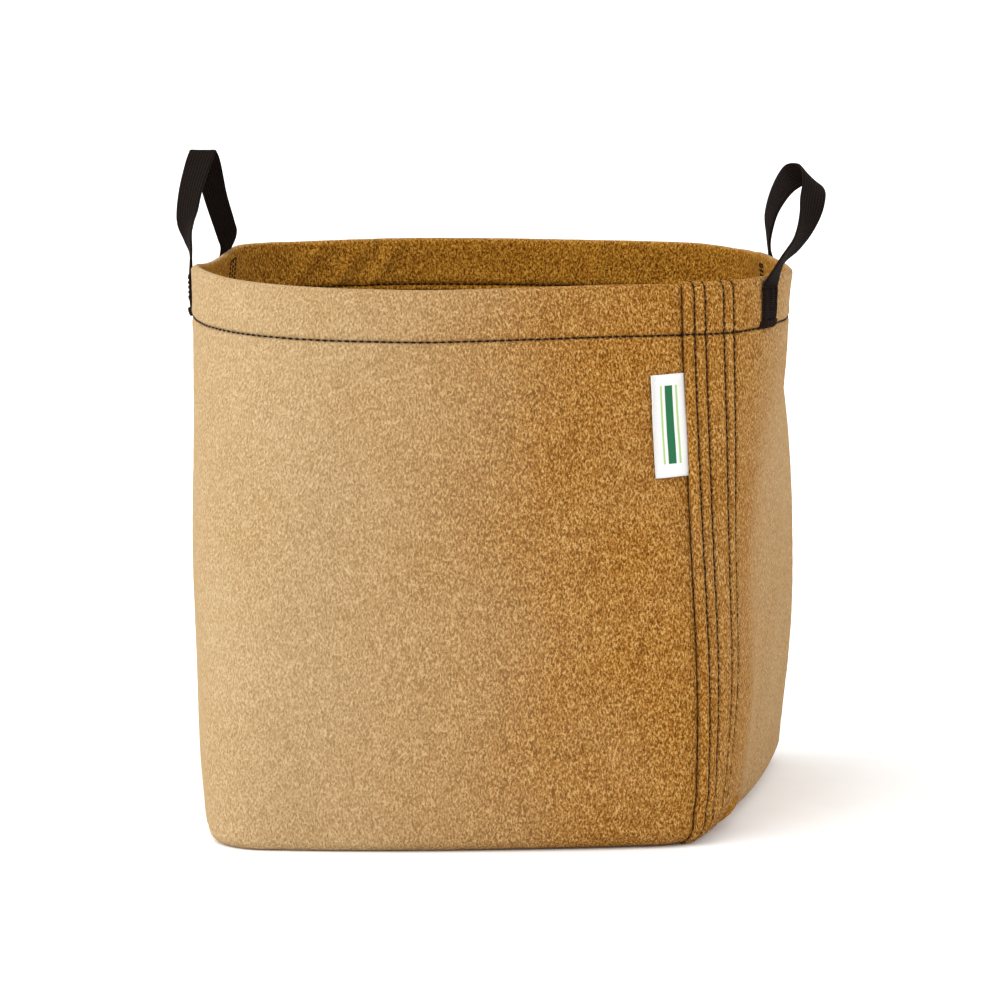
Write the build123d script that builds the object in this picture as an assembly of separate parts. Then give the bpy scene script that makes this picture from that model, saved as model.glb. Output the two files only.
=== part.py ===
from build123d import *

import math
import os

# Fabric grow bag: a felt plant pot with a turned-in rim, a lapped side seam and two webbing loop handles.
#
# Millimetres. +Z is up, +X is to the right and +Y to the back of the bag. The origin is on the ground,
# under the middle of the base. The wall is a felt tube: a soft square at the base that grows rounder
# towards the rim, and every layer of cloth is an even offset of that one tube.

# Bag
HEIGHT = 256.0
FELT = 2.2
BOTTOM_ROUNDING = 14.0

# Plan of the outer face at the base, half way up and at the rim. Each level has four corner circles
# (x, y, radius): front left, front right, back right, back left.
BASE_CORNERS = ((-108, -100, 24), (71, -98, 26), (105, 90, 32), (-98, 92, 34))
MIDDLE_CORNERS = ((-83, -72, 58), (64, -66, 48), (102, 83, 42), (-92, 85, 48))
RIM_CORNERS = ((-56, -22, 91), (62, -18, 75), (77, 88, 50), (-76, 88, 58))
FRONT_RIGHT = 1
# Radius of the bulge of the front, right, back and left side, at the base and at the rim
BASE_BULGES = (900, 900, 900, 900)
RIM_BULGES = (300, 900, 330, 420)
LOFT_LEVELS = (64.0, 128.0, 192.0, HEIGHT)

# Rim hem, turned to the inside
HEM_DEPTH = 25.5
HEM_STITCH_DEPTH = 23.0
THREAD_WIDTH = 0.9
THREAD_RISE = 0.7

# Base panel and the seam that joins it to the wall, turned to the inside
BASE_SEAM_INSET = 19.0
BASE_SEAM_WIDTH = 8.0
BASE_SEAM_THICKNESS = 2 * FELT

# Lapped side seam on the front right corner. Its folded edge leans across the corner as it rises.
SEAM_AZIMUTH = 40.0
SEAM_FOOT = -7.6
SEAM_LEAN = 0.067
SEAM_WIDTH = 31.0
SEAM_ROWS = (4.6, 10.9, 21.8, 28.2)
SEAM_FOOT_HEIGHT = 3.0

# Woven label, held in the folded edge of the side seam
LABEL_WIDTH = 17.0
LABEL_BOTTOM = 169.0
LABEL_TOP = 216.0
LABEL_THICKNESS = 0.6
LABEL_CLEARANCE = 0.9

# Webbing handles
WEBBING_WIDTH = 12.7
WEBBING_THICKNESS = 1.4
STRAP_END_BOTTOM = HEIGHT - HEM_STITCH_DEPTH + 0.8
BARTACK_SIZE = (11.0, 3.2)
BOX_STITCH_SIZE = (9.4, 13.0)
BOX_STITCH_CENTRE = 247.0
HINGE_HEIGHT = HEIGHT + 1.4
HINGE_STAND_OFF = WEBBING_THICKNESS + 0.3 + WEBBING_THICKNESS / 2
LOOP_START = 0.6
LOOP_HEIGHT = 50.0
LOOP_FOOT_WIDTH = 8.0
TWIST_START = 9.0
TWIST_END = 26.0
LOOP_STATIONS = 29
# Where each strap end is sewn: which side of the bag, its y, and how far the loop leans outward
HANDLES = {
    "left": {"side": -1, "front_y": -12.0, "back_y": 92.0, "lean": 6.0},
    "right": {"side": 1, "front_y": -60.0, "back_y": 62.0, "lean": 24.0},
}


def between_levels(base, middle, rim, height):
    """Quadratic blend of a number given at the base, half way up and at the rim."""
    t = height / HEIGHT
    return base * 2 * (t - 0.5) * (t - 1) - middle * 4 * t * (t - 1) + rim * 2 * t * (t - 0.5)


def corner_circle(index, height):
    levels = zip(BASE_CORNERS[index], MIDDLE_CORNERS[index], RIM_CORNERS[index])
    x, y, radius = (between_levels(*values, height) for values in levels)
    return Vector(x, y), radius


def bulge_circle(index, height):
    """Circle of one side: it touches the corner circles at both of the side's ends from outside."""
    start, start_radius = corner_circle(index, height)
    end, end_radius = corner_circle((index + 1) % 4, height)
    curvature = 1 / BASE_BULGES[index] + (1 / RIM_BULGES[index] - 1 / BASE_BULGES[index]) * height / HEIGHT
    radius = 1 / curvature
    start_reach = radius - start_radius
    end_reach = radius - end_radius
    chord = end - start
    along = (start_reach**2 - end_reach**2 + chord.length**2) / (2 * chord.length)
    across = math.sqrt(start_reach**2 - along**2)
    direction = chord.normalized()
    centre = start + direction * along + Vector(-direction.Y, direction.X) * across
    return centre, radius


def arc(centre, radius, first, last, height):
    """Counter-clockwise arc between the directions of two points, seen from the centre."""
    first_angle = math.atan2(first.Y - centre.Y, first.X - centre.X)
    last_angle = math.atan2(last.Y - centre.Y, last.X - centre.X)
    if last_angle < first_angle:
        last_angle += 2 * math.pi
    angles = (first_angle, (first_angle + last_angle) / 2, last_angle)
    points = [Vector(centre.X + radius * math.cos(a), centre.Y + radius * math.sin(a), height) for a in angles]
    return ThreePointArc(*points)


def outline(height, inset):
    """Closed outline of the bag at one height, moved inward by inset."""
    edges = []
    for index in range(4):
        following = (index + 1) % 4
        side_centre, side_radius = bulge_circle(index, height)
        next_centre, _ = bulge_circle(following, height)
        here, _ = corner_circle(index, height)
        corner, corner_radius = corner_circle(following, height)
        side_start = here + (here - side_centre)
        side_end = corner + (corner - side_centre)
        edges.append(arc(side_centre, side_radius - inset, side_start, side_end, height))
        turn_end = corner + (corner - next_centre)
        edges.append(arc(corner, corner_radius - inset, side_end, turn_end, height))
    return Wire(edges)


def body(inset, bottom=0.0):
    """Solid tube of the bag, moved inward by inset, with a rounded bottom edge."""
    sections = [outline(height, inset) for height in (bottom, *LOFT_LEVELS)]
    tube = Solid.make_loft(sections)
    floor_edges = tube.faces().sort_by(Axis.Z)[0].edges()
    return fillet(floor_edges, BOTTOM_ROUNDING - inset)


def level_slab(bottom, top):
    return Pos(0, 0, (bottom + top) / 2) * Box(800, 800, top - bottom)


def seam_slab(first, last):
    """Upright slab that follows the side seam, between two distances from its folded edge."""
    width = last - first
    slab = Pos(SEAM_FOOT + (first + last) / 2, -150, 0) * Box(width, 300, 800)
    lean = Location((0, 0, 0), (0, math.degrees(math.atan(SEAM_LEAN)), 0))
    tilted = Pos(SEAM_FOOT, 0, 0) * lean * Pos(-SEAM_FOOT, 0, 0) * slab
    return Rot(0, 0, SEAM_AZIMUTH) * tilted


def seam_point(height, stand_off):
    """Point just outside the wall on the seam's folded edge, and the wall's outward direction there."""
    azimuth = math.radians(SEAM_AZIMUTH)
    along = Vector(math.cos(azimuth), math.sin(azimuth))
    corner, radius = corner_circle(FRONT_RIGHT, height)
    reach = SEAM_FOOT + SEAM_LEAN * height - LABEL_CLEARANCE - corner.dot(along)
    turn = azimuth + math.asin(reach / radius)
    outward = Vector(math.sin(turn), -math.cos(turn))
    spot = corner + outward * (radius + stand_off)
    return Vector(spot.X, spot.Y, height), outward


def wall_point(side, y, height):
    """Point of the outer face on the left or right side at a given y, and the outward direction there."""
    front, back, bulge = (0, 3, 3) if side < 0 else (1, 2, 1)
    bulge_centre, bulge_radius = bulge_circle(bulge, height)
    centre, radius = bulge_centre, bulge_radius
    for corner_index, beyond in ((front, -1), (back, 1)):
        corner, corner_radius = corner_circle(corner_index, height)
        tangent_y = corner.Y + (corner - bulge_centre).normalized().Y * corner_radius
        if (y - tangent_y) * beyond > 0:
            centre, radius = corner, corner_radius
    x = centre.X + side * math.sqrt(radius**2 - (y - centre.Y) ** 2)
    outward = (Vector(x, y) - centre).normalized()
    return Vector(x, y, height), outward


def patch(layer, spot, outward, width, bottom, top):
    """Part of a layer (outer body, inner body) in front of one place on the wall, cut to a width and a height."""
    heading = math.degrees(math.atan2(outward.Y, outward.X))
    frame = Location((spot.X, spot.Y, (bottom + top) / 2), (0, 0, heading))
    outer, inner = layer
    return (outer & (frame * Box(60, width, top - bottom))) - inner


def hinge_line(handle):
    """The two points that a handle loop turns about, just outside the rim."""
    points = []
    for end in ("front_y", "back_y"):
        spot, outward = wall_point(handle["side"], handle[end], HEIGHT)
        points.append(Vector(spot.X, spot.Y, HINGE_HEIGHT) + outward * HINGE_STAND_OFF)
    return points


def handle_loop(handle):
    """Webbing loop: it leaves both ends flat to the wall, turns a quarter and arches over edge-on."""
    front, back = hinge_line(handle)
    chord = (back - front).normalized()
    outward = Vector(chord.Y, -chord.X)
    if outward.X * handle["side"] < 0:
        outward = outward * -1
    lean = math.radians(handle["lean"])
    rise = Vector(0, 0, 1) * math.cos(lean) + outward * math.sin(lean)
    normal = outward * math.cos(lean) - Vector(0, 0, 1) * math.sin(lean)
    middle = (front + back) / 2
    half_chord = (back - front).length / 2
    first = math.asin(LOOP_START / LOOP_HEIGHT)
    sections = []
    for station in range(LOOP_STATIONS):
        angle = first + (math.pi - 2 * first) * station / (LOOP_STATIONS - 1)
        centre = middle - chord * half_chord * math.cos(angle) + rise * LOOP_HEIGHT * math.sin(angle)
        tangent = (chord * half_chord * math.sin(angle) + rise * LOOP_HEIGHT * math.cos(angle)).normalized()
        climb = LOOP_HEIGHT * math.sin(angle)
        blend = min(1.0, max(0.0, (climb - TWIST_START) / (TWIST_END - TWIST_START)))
        blend = blend * blend * (3 - 2 * blend)
        twist = math.radians(90) * blend
        in_plane = tangent.cross(normal).normalized()
        across = in_plane * math.cos(twist) + normal * math.sin(twist)
        face = tangent.cross(across).normalized()
        half_width = across * (LOOP_FOOT_WIDTH + (WEBBING_WIDTH - LOOP_FOOT_WIDTH) * blend) / 2
        half_thickness = face * WEBBING_THICKNESS / 2
        corners = [
            centre + half_width + half_thickness,
            centre - half_width + half_thickness,
            centre - half_width - half_thickness,
            centre + half_width - half_thickness,
        ]
        sections.append(Wire.make_polygon(corners, close=True))
    return Solid.make_loft(sections, ruled=True)


def label_flap():
    """Thin woven label that hangs from the seam's folded edge and lies along the wall."""
    stand_off = LABEL_THICKNESS / 2 + 0.3
    foot, _ = seam_point(LABEL_BOTTOM, stand_off)
    head, _ = seam_point(LABEL_TOP, stand_off)
    _, outward = seam_point((LABEL_BOTTOM + LABEL_TOP) / 2, stand_off)
    upward = (head - foot).normalized()
    facing = (outward - upward * outward.dot(upward)).normalized()
    frame = Plane(origin=(foot + head) / 2, x_dir=upward, z_dir=facing)
    length = (head - foot).length
    return frame * Pos(0, LABEL_WIDTH / 2, 0) * Box(length, LABEL_WIDTH, LABEL_THICKNESS)


def frame_outline(layer, spot, outward, size, centre_height):
    """Closed rectangle of stitching on a strap end."""
    width, height = size
    outer = patch(layer, spot, outward, width, centre_height - height / 2, centre_height + height / 2)
    hole_bottom = centre_height - height / 2 + THREAD_WIDTH
    hole_top = centre_height + height / 2 - THREAD_WIDTH
    inner = patch(layer, spot, outward, width - 2 * THREAD_WIDTH, hole_bottom, hole_top)
    return outer - inner


def build_parts():
    parts = {}
    outside = body(0)
    inside = body(FELT, FELT)
    hem_inside = body(2 * FELT, FELT)
    hem_thread_inside = body(2 * FELT + THREAD_RISE, FELT)
    lap_outside = body(-FELT)
    lap_thread_outside = body(-FELT - THREAD_RISE)
    wall_thread_outside = body(-THREAD_RISE)
    strap_outside = body(-WEBBING_THICKNESS)
    strap_thread_outside = body(-WEBBING_THICKNESS - THREAD_RISE)

    base_plate = extrude(Face(outline(0, BASE_SEAM_INSET)), FELT)
    parts["wall_panel"] = outside - inside - base_plate
    parts["base_panel"] = base_plate

    hem_bottom = HEIGHT - HEM_DEPTH
    parts["rim_hem"] = (inside - hem_inside) & level_slab(hem_bottom, HEIGHT)

    stitch_height = HEIGHT - HEM_STITCH_DEPTH
    stitch_slab = level_slab(stitch_height - THREAD_WIDTH / 2, stitch_height + THREAD_WIDTH / 2)
    seam_zone = seam_slab(-0.5, SEAM_WIDTH + 0.5)
    parts["hem_stitch_outside"] = (wall_thread_outside & stitch_slab) - outside - seam_zone
    parts["hem_stitch_inside"] = (hem_inside - hem_thread_inside) & stitch_slab

    seam_heights = level_slab(SEAM_FOOT_HEIGHT, HEIGHT)
    parts["side_seam_lap"] = (lap_outside & seam_heights & seam_slab(0, SEAM_WIDTH)) - outside
    lap_thread = lap_thread_outside & seam_heights
    for number, offset in enumerate(SEAM_ROWS, start=1):
        row = seam_slab(offset - THREAD_WIDTH / 2, offset + THREAD_WIDTH / 2)
        parts[f"side_seam_stitch_{number}"] = (lap_thread & row) - lap_outside

    allowance_outer = Face(outline(0, BASE_SEAM_INSET - BASE_SEAM_WIDTH / 2))
    allowance_inner = Face(outline(0, BASE_SEAM_INSET + BASE_SEAM_WIDTH / 2))
    allowance = extrude(allowance_outer - allowance_inner, BASE_SEAM_THICKNESS)
    parts["base_seam_allowance"] = Pos(0, 0, FELT) * allowance
    thread_outer = Face(outline(0, BASE_SEAM_INSET - THREAD_WIDTH / 2))
    thread_inner = Face(outline(0, BASE_SEAM_INSET + THREAD_WIDTH / 2))
    base_thread = extrude(thread_outer - thread_inner, THREAD_RISE)
    parts["base_seam_stitch"] = Pos(0, 0, FELT + BASE_SEAM_THICKNESS) * base_thread

    strap_layer = (strap_outside, outside)
    strap_thread = (strap_thread_outside, strap_outside)
    for name, handle in HANDLES.items():
        for end in ("front", "back"):
            spot, outward = wall_point(handle["side"], handle[end + "_y"], HEIGHT)
            place = f"{name}_{end}"
            strap = patch(strap_layer, spot, outward, WEBBING_WIDTH, STRAP_END_BOTTOM, HEIGHT)
            parts[f"{place}_strap_end"] = strap
            width, rise = BARTACK_SIZE
            foot = STRAP_END_BOTTOM + 0.8
            parts[f"{place}_bartack"] = patch(strap_thread, spot, outward, width, foot, foot + rise)
            box = frame_outline(strap_thread, spot, outward, BOX_STITCH_SIZE, BOX_STITCH_CENTRE)
            parts[f"{place}_box_stitch"] = box
        parts[f"{name}_handle_loop"] = handle_loop(handle)

    parts["label_flap"] = label_flap()
    return parts


def main():
    os.makedirs("parts", exist_ok=True)
    for name, shape in build_parts().items():
        export_step(shape, f"parts/{name}.step")


main()
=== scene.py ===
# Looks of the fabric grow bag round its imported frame: felt, stitching, webbing handles and label.

import math

import bpy
import numpy as np
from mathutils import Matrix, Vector
from mathutils.bvhtree import BVHTree


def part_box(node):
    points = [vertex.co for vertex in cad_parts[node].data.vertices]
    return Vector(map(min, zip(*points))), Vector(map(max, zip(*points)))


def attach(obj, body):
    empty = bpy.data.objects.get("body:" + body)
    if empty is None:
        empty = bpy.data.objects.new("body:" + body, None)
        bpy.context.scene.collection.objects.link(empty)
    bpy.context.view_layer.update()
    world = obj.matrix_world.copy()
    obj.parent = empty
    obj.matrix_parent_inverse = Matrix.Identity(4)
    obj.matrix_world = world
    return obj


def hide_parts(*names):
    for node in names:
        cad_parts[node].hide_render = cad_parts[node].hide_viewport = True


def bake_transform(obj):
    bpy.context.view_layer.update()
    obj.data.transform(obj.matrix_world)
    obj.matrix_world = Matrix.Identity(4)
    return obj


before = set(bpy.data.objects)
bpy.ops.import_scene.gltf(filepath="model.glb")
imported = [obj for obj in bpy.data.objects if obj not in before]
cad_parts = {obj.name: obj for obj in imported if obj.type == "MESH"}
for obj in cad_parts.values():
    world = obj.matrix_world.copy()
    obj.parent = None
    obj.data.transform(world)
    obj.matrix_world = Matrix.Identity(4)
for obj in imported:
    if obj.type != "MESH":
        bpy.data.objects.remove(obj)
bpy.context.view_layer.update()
random = np.random.default_rng(20)
MM = 0.001

# Cloth sizes, in metres, as the CAD frame has them
FELT = 2.2 * MM
HEM = 2 * FELT
ROUNDING = 14 * MM
BASE_INSET = 19 * MM
HEM_STITCH_DEPTH = 23 * MM
HEM_DEPTH = 25.5 * MM
SEAM_ROWS = (4.2 * MM, 9.9 * MM, 19.9 * MM, 25.7 * MM)
STITCH_PITCH = 3.35 * MM
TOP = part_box("wall_panel")[1].z
STITCH_LEVEL = TOP - HEM_STITCH_DEPTH
SEAM_ZONE = (-14 * MM, 46 * MM)  # finely divided stretch of the wall, measured from the seam's fold
CORNER_REACH = 125 * MM  # distance of the seam's corner from the bag's axis, for turning drift into an angle

# How far the seam's fold wanders sideways from its straight line, both in mm, against the height
FOLD_DRIFT = ((0, 1.4), (30, 1.2), (60, 0.8), (90, -0.4), (128, -2.4), (160, -3.8), (190, -4.2),
              (233, -4.2), (256, -3.2))


# ---------------------------------------------------------------- surface of the bag
def node_tree(name):
    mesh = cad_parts[name].data
    return BVHTree.FromPolygons([v.co for v in mesh.vertices], [list(p.vertices) for p in mesh.polygons])


def fit_levels(levels, values, degree):
    """Smooth polynomial through one or many numbers measured at several heights."""
    return np.polyfit(levels / TOP, values, degree)


class Tube:
    """The bag's outer face as smooth rings, read from the CAD wall by rays aimed at its axis."""

    ANGLES = 720
    HARMONICS = 70
    SAMPLES = 1440
    BEFORE_SEAM = math.radians(-110)  # a direction across the front that is well left of the seam

    def __init__(self):
        tree = node_tree("wall_panel")
        levels = np.linspace(ROUNDING + 1 * MM, TOP - 1 * MM, 22)
        angles = np.arange(self.ANGLES) * 2 * math.pi / self.ANGLES
        table = [[self.reach(tree, z, angle) for angle in angles] for z in levels]
        spectrum = np.fft.rfft(np.array(table), axis=1)[:, : self.HARMONICS]
        self.real = fit_levels(levels, spectrum.real, 4)
        self.imaginary = fit_levels(levels, spectrum.imag, 4)
        lap = node_tree("side_seam_lap")
        seam_levels = np.linspace(ROUNDING + 1 * MM, TOP - 2 * MM, 12)
        folds = [self.fold_angle(lap, z) for z in seam_levels]
        drift = np.interp(seam_levels, *np.array(FOLD_DRIFT).T * MM) / CORNER_REACH
        self.fold = fit_levels(seam_levels, np.array(folds) + drift, 3)

    @staticmethod
    def reach(tree, z, angle):
        direction = Vector((math.cos(angle), math.sin(angle), 0))
        hit = tree.ray_cast(direction * 0.5 + Vector((0, 0, z)), -direction)[0]
        return math.hypot(hit.x, hit.y) if hit else 0.0

    def fold_angle(self, tree, z):
        """Angle of the seam's folded edge: the first ray, turning right, that meets the lap."""
        before = self.BEFORE_SEAM
        angle = before
        while not self.reach(tree, z, angle) and angle < 0:
            before = angle
            angle += math.radians(1)
        for _ in range(12):
            middle = (before + angle) / 2
            if self.reach(tree, z, middle):
                angle = middle
            else:
                before = middle
        return angle

    def ring(self, z):
        """Points of one ring, its outward directions and the distance walked along it from the fold."""
        scaled = max(z, ROUNDING) / TOP
        powers = np.array([scaled**k for k in range(4, -1, -1)])
        spectrum = np.zeros(self.SAMPLES // 2 + 1, complex)
        spectrum[: self.HARMONICS] = powers @ self.real + 1j * (powers @ self.imaginary)
        radius = np.fft.irfft(spectrum, self.SAMPLES) * self.SAMPLES / self.ANGLES
        angles = np.arange(self.SAMPLES) * 2 * math.pi / self.SAMPLES
        start = np.polyval(self.fold, scaled)
        shifted = np.interp(angles + start, np.append(angles, 2 * math.pi), np.append(radius, radius[0]),
                            period=2 * math.pi)
        xy = np.stack([shifted * np.cos(angles + start), shifted * np.sin(angles + start)], 1)
        closed = np.vstack([xy, xy[:1]])
        walked = np.append(0, np.cumsum(np.linalg.norm(np.diff(closed, axis=0), axis=1)))
        along = np.roll(xy, -1, 0) - np.roll(xy, 1, 0)
        along /= np.linalg.norm(along, axis=1)[:, None]
        outward = np.stack([along[:, 1], -along[:, 0]], 1)
        return closed, np.vstack([outward, outward[:1]]), walked

    def at(self, z, distances):
        """Ring points and outward directions at distances from the fold; distances may be negative."""
        xy, outward, walked = self.ring(z)
        wrapped = np.mod(distances, walked[-1])
        point = np.stack([np.interp(wrapped, walked, xy[:, i]) for i in (0, 1)], 1)
        normal = np.stack([np.interp(wrapped, walked, outward[:, i]) for i in (0, 1)], 1)
        return point, normal / np.linalg.norm(normal, axis=1)[:, None]

    def length(self, z):
        return self.ring(z)[2][-1]


tube = Tube()
ROUND = tube.length(TOP / 2)


def seam_columns():
    """Columns across the side seam: distance from the fold, sideways shift, height of the lapped layer."""
    fold = [(-14, 0, 0), (-11, 0, 0), (-8.5, 0, 0), (-6, 0, 0), (-4.2, 0, 0), (-3, 0, 0), (-2, 0, -0.05),
            (-1.2, 0, -0.2), (-0.6, 0.1, -0.5), (-0.2, 0.25, -0.5), (0, 0.1, 0.3), (0, -0.35, 1.0),
            (0, -0.55, 1.7), (0, -0.4, 2.4), (0.1, 0.05, 2.9), (0.6, 0.1, 3.2), (1.2, 0, 3.35)]
    across = np.concatenate([np.arange(1.8, 31.5, 0.62), [33, 35, 37.5, 40, 43, 46]])
    swell = np.interp(across, (0, 2.2, 7.7, 16, 25, 31, 40), (3.3, 3.35, 2.8, 2.6, 2.1, 1.2, 0))
    flat = [(distance, 0, height) for distance, height in zip(across, swell)]
    return np.array(fold + flat) * MM


def wall_columns():
    seam = seam_columns()
    rest = np.linspace(SEAM_ZONE[1], ROUND + SEAM_ZONE[0], 322)[1:-1]
    plain = np.stack([rest, np.zeros_like(rest), np.zeros_like(rest)], 1)
    return np.vstack([seam, plain]), len(seam)


def wall_rows():
    """Rows round the wall's cross-section: height, inset from the outer face and the side it is on."""
    rows = [(0, BASE_INSET, "under"), (0, BASE_INSET - 2.5 * MM, "under")]
    for turn in np.radians(np.linspace(0, 90, 10)):
        rows.append((ROUNDING * (1 - math.cos(turn)), ROUNDING * (1 - math.sin(turn)), "foot"))
    coarse = np.arange(ROUNDING + 2.6 * MM, STITCH_LEVEL - 5 * MM, 2.6 * MM)
    fine = STITCH_LEVEL + np.array([-4.6, -3.2, -2.2, -1.5, -1, -0.5, 0, 0.5, 1, 1.5, 2.2, 3.2, 4.6]) * MM
    upper = np.arange(STITCH_LEVEL + 6.6 * MM, TOP - HEM / 2 - 1 * MM, 2.3 * MM)
    rows += [(z, 0, "outside") for z in (*coarse, *fine, *upper)]
    for turn in np.radians(np.linspace(0, 180, 11)):
        rows.append((TOP - HEM / 2 + HEM / 2 * math.sin(turn), HEM / 2 * (1 - math.cos(turn)), "rim"))
    rows += [(z, HEM, "hem") for z in (*upper[::-1], *fine[::-1]) if z > TOP - HEM_DEPTH + 0.4 * MM]
    foot = TOP - HEM_DEPTH
    rows += [(foot + 0.1 * MM, HEM - 0.1 * MM, "hem"), (foot - 0.5 * MM, HEM - 0.7 * MM, "hem"),
             (foot - 0.6 * MM, FELT + 0.4 * MM, "inside"), (foot - 1.4 * MM, FELT, "inside")]
    rows += [(z, FELT, "inside") for z in np.arange(foot - 4 * MM, ROUNDING + 3 * MM, -5 * MM)]
    inner = ROUNDING - FELT
    for turn in np.radians(np.linspace(0, 90, 8)):
        rows.append((FELT + inner * (1 - math.sin(turn)), FELT + inner * (1 - math.cos(turn)), "inside"))
    rows += [(FELT, BASE_INSET - 2.5 * MM, "inside"), (FELT, BASE_INSET, "inside")]
    return rows


def smooth(value, low, high):
    t = np.clip((value - low) / (high - low), 0, 1)
    return t * t * (3 - 2 * t)


def bell(value, centre, width):
    return np.exp(-(((value - centre) / width) ** 2))


# Soft unevenness of the cloth: random long waves that close round the bag, and a few placed folds
WAVES = [(random.integers(1, 9), random.uniform(-2.2, 2.2), random.uniform(0, 6.28), random.uniform(0.2, 1))
         for _ in range(26)]
# Places round the bag are shares of the way round from the seam's fold: front left corner 0.77,
# left side 0.62, back 0.4, right side 0.13.
FOLDS = [  # share round, height, length across, length up, lean, depth in mm
    (0.985, 14 * MM, 26 * MM, 6 * MM, 0.25, -1.6),
    (0.93, 12 * MM, 70 * MM, 6 * MM, 0.03, -1.0),
    (0.67, 240 * MM, 80 * MM, 85 * MM, 0.0, -2.4),
    (0.72, 40 * MM, 60 * MM, 40 * MM, 0.0, 1.2),
    (0.112, 215 * MM, 42 * MM, 36 * MM, 0.0, 4.0),
    (0.15, 115 * MM, 60 * MM, 45 * MM, 0.0, -1.2),
    (0.045, 45 * MM, 28 * MM, 75 * MM, 0.0, 7.0),
    (0.335, 238 * MM, 3.4 * MM, 19 * MM, 0.0, -2.4),
    (0.35, 238 * MM, 3.4 * MM, 19 * MM, 0.1, -2.1),
    (0.365, 238 * MM, 3.4 * MM, 19 * MM, 0.15, -1.9),
    (0.455, 238 * MM, 4.5 * MM, 18 * MM, -0.7, -2.4),
    (0.475, 238 * MM, 5 * MM, 17 * MM, -0.8, -2.6),
    (0.5, 238 * MM, 5 * MM, 16 * MM, -0.8, -2.2),
]
# Height of the rim above its level, in mm, against the share round
RIM_WAVE = ((0.0, 0.4), (0.02, 0.0), (0.05, 0.9), (0.07, 1.6), (0.09, 0.8), (0.14, 0.4), (0.2, 0.0),
            (0.22, -1.6), (0.25, -2.2), (0.28, -0.8), (0.34, -0.6), (0.44, 0.0), (0.5, -0.9), (0.545, 0.3),
            (0.56, 0.2), (0.575, -2.4), (0.6, -3.4), (0.62, -2.6), (0.64, -1.2), (0.66, 0.6), (0.68, 1.9),
            (0.7, 3.3), (0.72, 3.7), (0.74, 2.7), (0.76, 1.8), (0.78, 1.2), (0.83, 0.2), (0.87, -0.4),
            (0.92, 0.6), (0.96, 1.0), (1.0, 0.4))
CALM_BELOW = 150 * MM  # the rim's wave dies out down to this height
CRISP_CORNER = (0.79, 0.13)  # place and width, in shares round, of the sharper foot at the front left
SEAM_CORNER = (0.045, 0.03)  # place and width of the fuller foot at the seam's corner
CRISPNESS = 0.62
# How much of the lapped layer's height each side of the cloth shows
LAP_SHARES = {"under": 0.2, "foot": 1.0, "outside": 1.0, "rim": 0.8, "hem": 0.5, "inside": 0.0}


def unevenness(share, z):
    """Swelling of the cloth, outward, at shares round the bag on one height."""
    total = np.zeros_like(share)
    for around, up, phase, size in WAVES:
        total += size / math.sqrt(around) * np.cos(2 * math.pi * (around * share + up * z / TOP) + phase)
    total *= 0.34 * MM * (0.35 + 0.65 * smooth(z, 0, 60 * MM))
    for centre, height, wide, tall, lean, depth in FOLDS:
        across = ((share - centre + 0.5) % 1 - 0.5) * ROUND - lean * (z - height)
        total += depth * MM * bell(across, 0, wide) * bell(z, height, tall)
    return total


def rim_wave(share):
    """Height of the rim above its level, softened between the places of RIM_WAVE."""
    places, heights = zip(*RIM_WAVE)
    fine = np.linspace(0, 1, 401)
    coarse = np.interp(fine, places, heights)
    kernel = np.hanning(11) / np.hanning(11).sum()
    softened = np.convolve(np.concatenate([coarse[-11:-1], coarse, coarse[1:11]]), kernel, "same")[10:-10]
    return np.interp(share, fine, softened) * MM


def bell_round(share, place, width):
    """Bell round the bag that carries on past the seam's fold."""
    return bell((share - place + 0.5) % 1 - 0.5, 0, width)


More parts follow.
